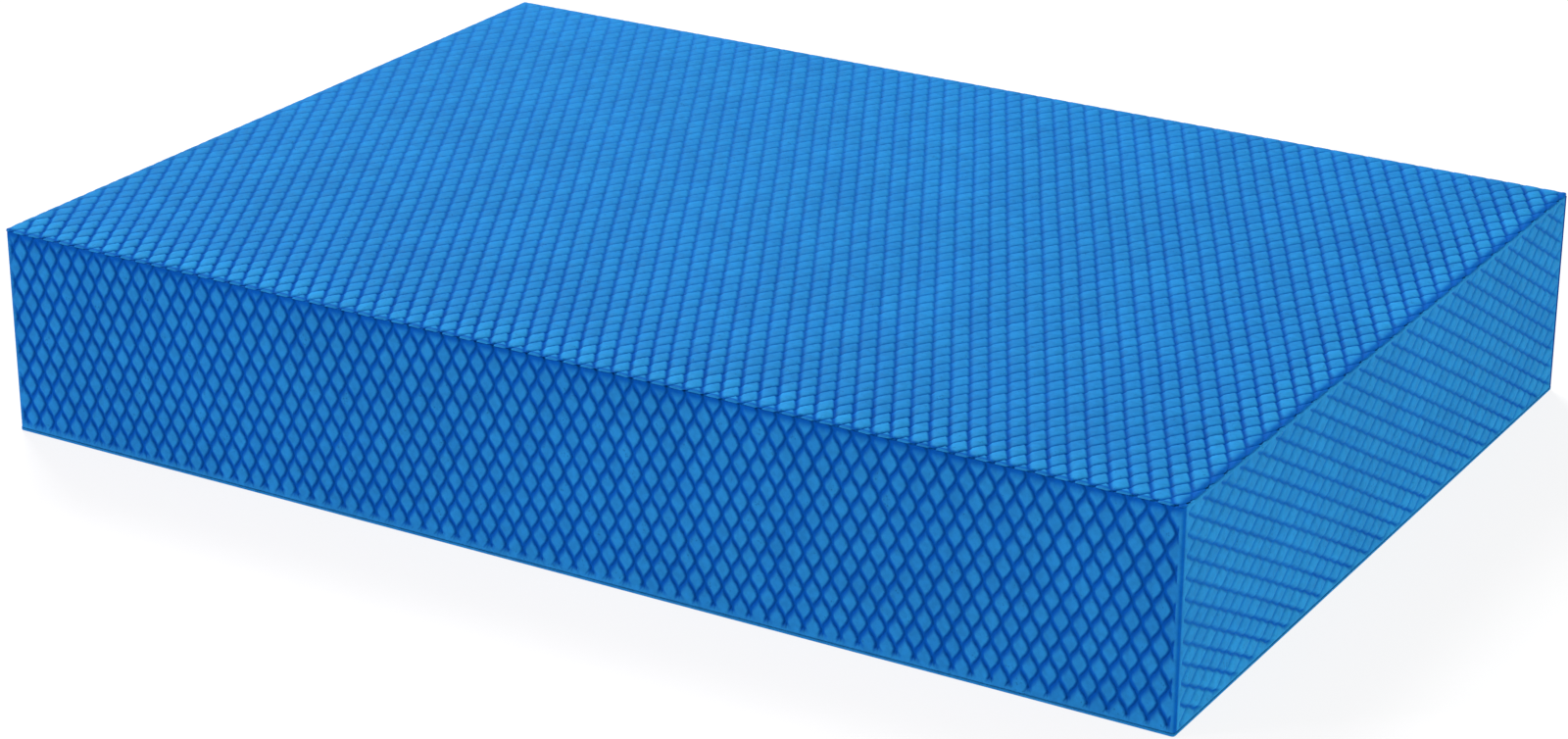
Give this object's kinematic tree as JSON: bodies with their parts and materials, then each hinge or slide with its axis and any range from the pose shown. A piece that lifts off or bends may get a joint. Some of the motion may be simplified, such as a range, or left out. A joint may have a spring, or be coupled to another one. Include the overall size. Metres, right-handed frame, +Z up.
{
  "type": "balance pad",
  "caption": "Rectangular closed-cell foam balance pad with an embossed diamond grip skin on every face, which sinks under a standing person and springs back.",
  "frame": {"origin": "centre of the underside, on the floor", "axes": "+X along the long side, +Z up out of the standing face, front at -Y"},
  "size_m": [0.355, 0.25, 0.06],
  "materials": {
    "embossed_skin": "matte",
    "foam_core": "matte"
  },
  "bodies": {
    "base": {"bottom_skin": "embossed_skin", "lower_slab": "foam_core", "front_skin": "embossed_skin", "back_skin": "embossed_skin", "left_skin": "embossed_skin", "right_skin": "embossed_skin"},
    "surface": {"top_skin": "embossed_skin", "upper_slab": "foam_core", "middle_slab": "foam_core"}
  },
  "joints": [
    {"name": "top_compression", "type": "slide", "parent": "base", "child": "surface", "axis": [0, 0, -1], "range_m": [0, 0.018], "stiffness_N_per_m": 44000, "deforming": ["front_skin", "back_skin", "left_skin", "right_skin", "lower_slab"]}
  ]
}
